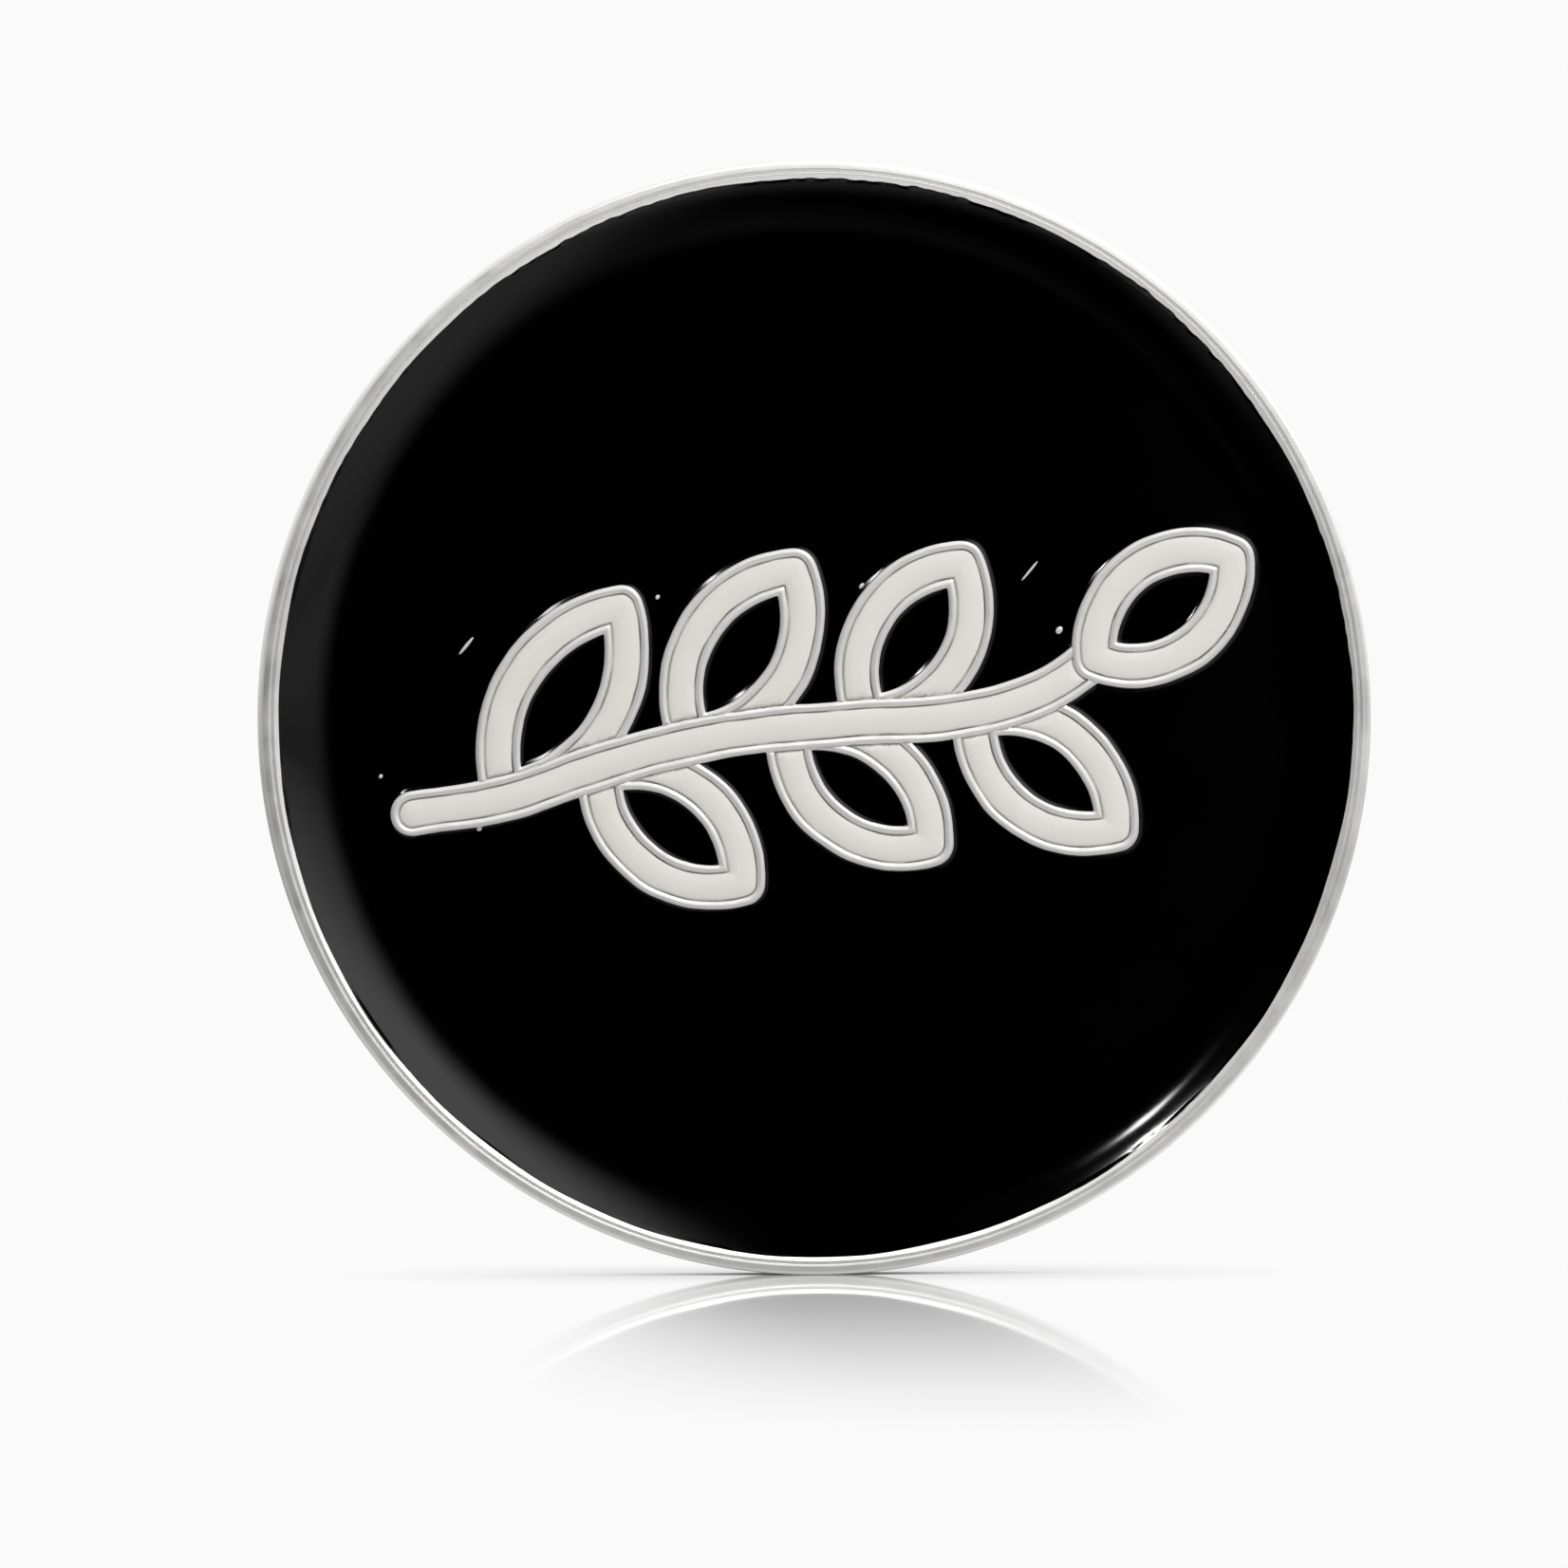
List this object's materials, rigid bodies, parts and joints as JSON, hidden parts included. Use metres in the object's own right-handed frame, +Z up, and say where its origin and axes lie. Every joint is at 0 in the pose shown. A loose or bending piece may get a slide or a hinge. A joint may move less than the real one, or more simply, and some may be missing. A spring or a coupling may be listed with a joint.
{
  "type": "enamel pin",
  "caption": "Round enamel pin: black enamel face with a cream leafy sprig in raised metal lines, thin metal rim, and posts with squeeze-to-release butterfly clutches.",
  "frame": {"origin": "centre of the badge's back face, the plane that rests on the cloth", "axes": "+Y out of the back along the posts, +Z up as worn, +X to the right as seen from the front; the enamel faces -Y"},
  "size_m": [0.03, 0.0115, 0.03],
  "materials": {
    "struck_metal": "die-struck zinc alloy with bright polished nickel plating, fine polishing marks; matt sandblasted field on the back",
    "black_enamel": "deep black enamel, high gloss, rising in a hollow curve to each metal edge",
    "cream_enamel": "warm off-white enamel, satin gloss, slightly sunk between the metal lines",
    "post_metal": "nickel-plated steel nail, fine turning marks",
    "solder": "dull grey solder, slightly uneven",
    "clutch_plate": "stamped brass with bright nickel plating, handling scratches",
    "spring_metal": "spring brass strip with nickel plating, fine rolling marks along the strip"
  },
  "bodies": {
    "badge": {"struck_base": "struck_metal", "black_field": "black_enamel", "black_leaf_fill_1": "black_enamel", "black_leaf_fill_2": "black_enamel", "black_leaf_fill_3": "black_enamel", "black_leaf_fill_4": "black_enamel", "black_leaf_fill_5": "black_enamel", "black_leaf_fill_6": "black_enamel", "black_leaf_fill_7": "black_enamel", "cream_leaf_1": "cream_enamel", "cream_leaf_2": "cream_enamel", "cream_leaf_3": "cream_enamel", "cream_leaf_4": "cream_enamel", "cream_leaf_5": "cream_enamel", "cream_leaf_6": "cream_enamel", "cream_leaf_7": "cream_enamel", "cream_stem": "cream_enamel", "post_left": "post_metal", "post_right": "post_metal", "solder_fillet_left": "solder", "solder_fillet_right": "solder"},
    "clutch_left": {"clutch_cap_left": "clutch_plate", "spring_web_left": "spring_metal"},
    "wing_outer_left": {"wing_outer_left": "spring_metal"},
    "wing_inner_left": {"wing_inner_left": "spring_metal"},
    "clutch_right": {"clutch_cap_right": "clutch_plate", "spring_web_right": "spring_metal"},
    "wing_outer_right": {"wing_outer_right": "spring_metal"},
    "wing_inner_right": {"wing_inner_right": "spring_metal"}
  },
  "joints": [
    {"name": "clutch_left_slide", "type": "slide", "parent": "badge", "child": "clutch_left", "axis": [0, 1, 0], "range_m": [-0.0025, 0.008]},
    {"name": "wing_outer_left_squeeze", "type": "hinge", "parent": "clutch_left", "child": "wing_outer_left", "pos_m": [-0.00935, 0.00645, 0], "axis": [0, 0, 1], "range_deg": [-8, 0], "stiffness_Nm_per_rad": 0.15},
    {"name": "wing_inner_left_squeeze", "type": "hinge", "parent": "clutch_left", "child": "wing_inner_left", "pos_m": [-0.00665, 0.00645, 0], "axis": [0, 0, 1], "range_deg": [0, 8], "stiffness_Nm_per_rad": 0.15},
    {"name": "clutch_right_slide", "type": "slide", "parent": "badge", "child": "clutch_right", "axis": [0, 1, 0], "range_m": [-0.0025, 0.008]},
    {"name": "wing_outer_right_squeeze", "type": "hinge", "parent": "clutch_right", "child": "wing_outer_right", "pos_m": [0.00935, 0.00645, 0], "axis": [0, 0, 1], "range_deg": [0, 8], "stiffness_Nm_per_rad": 0.15},
    {"name": "wing_inner_right_squeeze", "type": "hinge", "parent": "clutch_right", "child": "wing_inner_right", "pos_m": [0.00665, 0.00645, 0], "axis": [0, 0, 1], "range_deg": [-8, 0], "stiffness_Nm_per_rad": 0.15}
  ],
  "couplings": [
    {"joint": "wing_inner_left_squeeze", "follows": "wing_outer_left_squeeze", "ratio": -1},
    {"joint": "wing_inner_right_squeeze", "follows": "wing_outer_right_squeeze", "ratio": -1}
  ]
}
